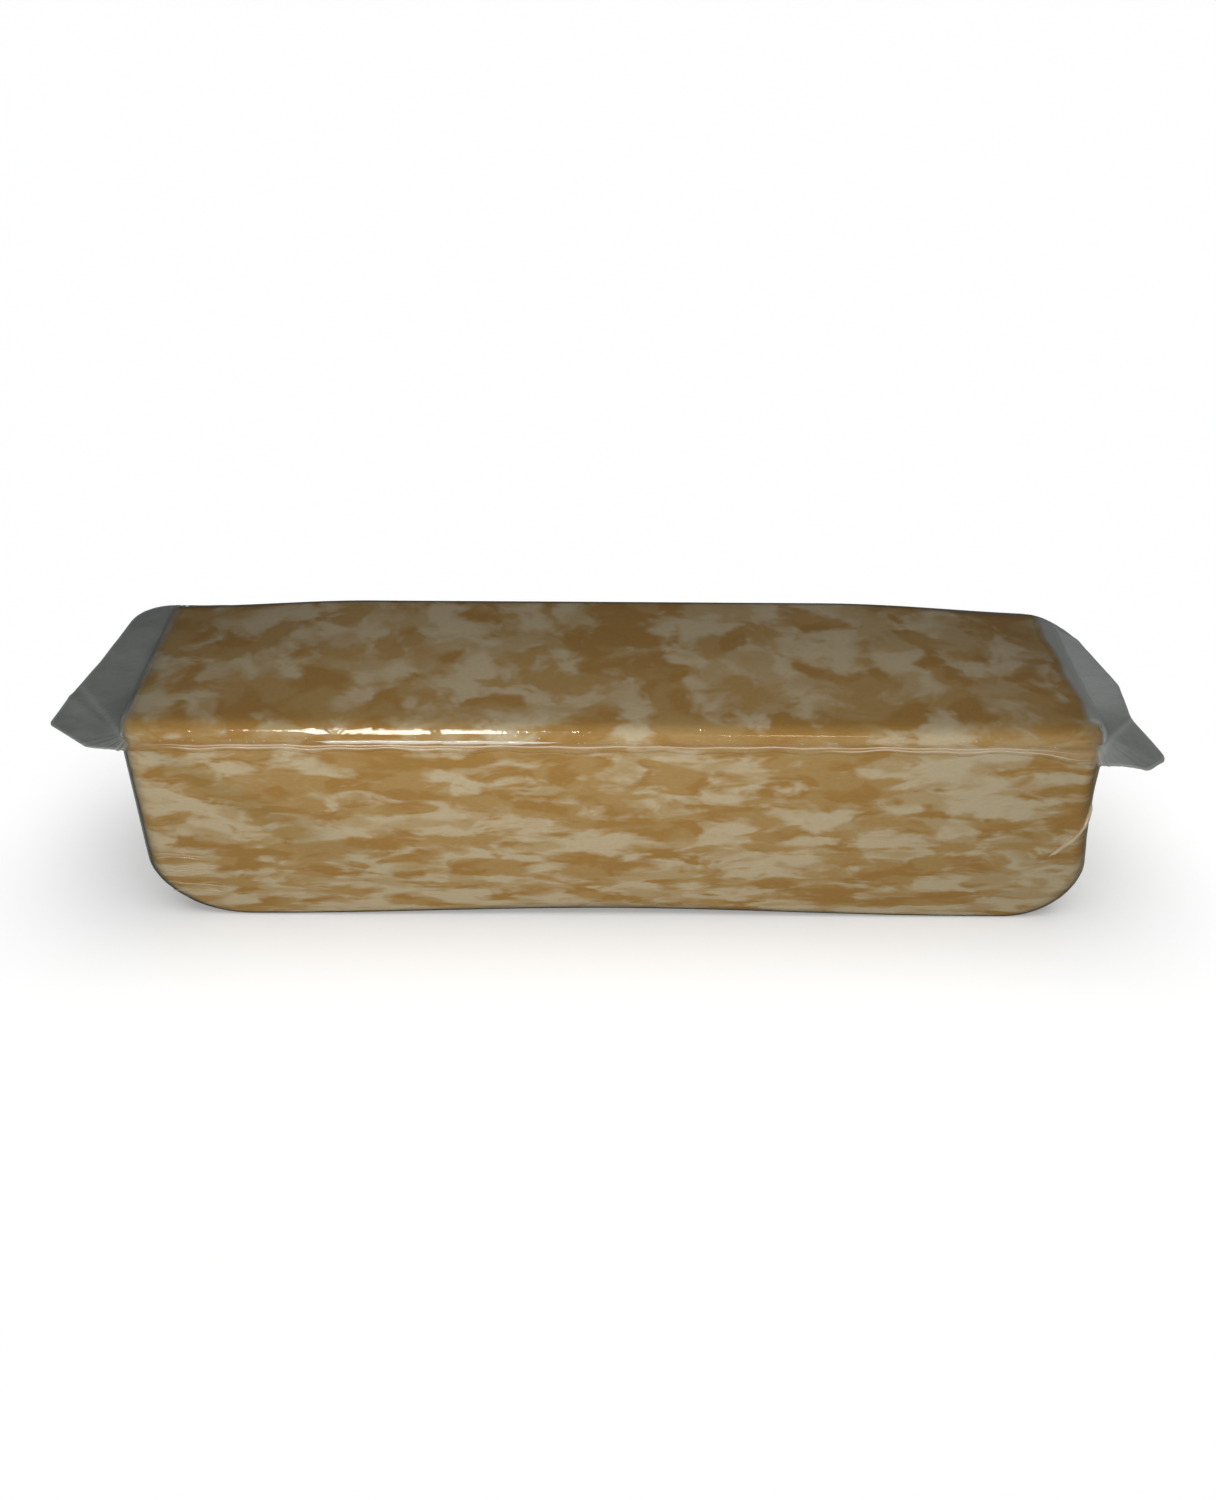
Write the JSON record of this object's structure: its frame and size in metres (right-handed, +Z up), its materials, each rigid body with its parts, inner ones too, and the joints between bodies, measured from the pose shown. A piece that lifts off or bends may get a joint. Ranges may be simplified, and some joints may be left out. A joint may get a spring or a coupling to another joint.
{
  "type": "colby jack cheese block",
  "caption": "Long block of marbled orange and pale cheese in a clear skin-tight vacuum pack, with a thin sealed film edge round the top that widens into a flat wing at each end.",
  "frame": {"origin": "on the flat underside, below the middle of the block; the pack's wings are uneven, so it is not the middle of the bounding box", "axes": "+X along the block towards the end with the folded wing, +Y from the front face to the back face, +Z up from the underside to the sealed mouth"},
  "size_m": [0.2689, 0.0719, 0.0572],
  "materials": {
    "marbled_cheese": "marbled orange and pale cheese under clear glossy film",
    "clear_film": "clear film, smoky grey where two sheets are sealed together"
  },
  "bodies": {
    "root": {"wrapped_cheese_block": "marbled_cheese", "film_seal_flange": "clear_film"}
  },
  "joints": []
}
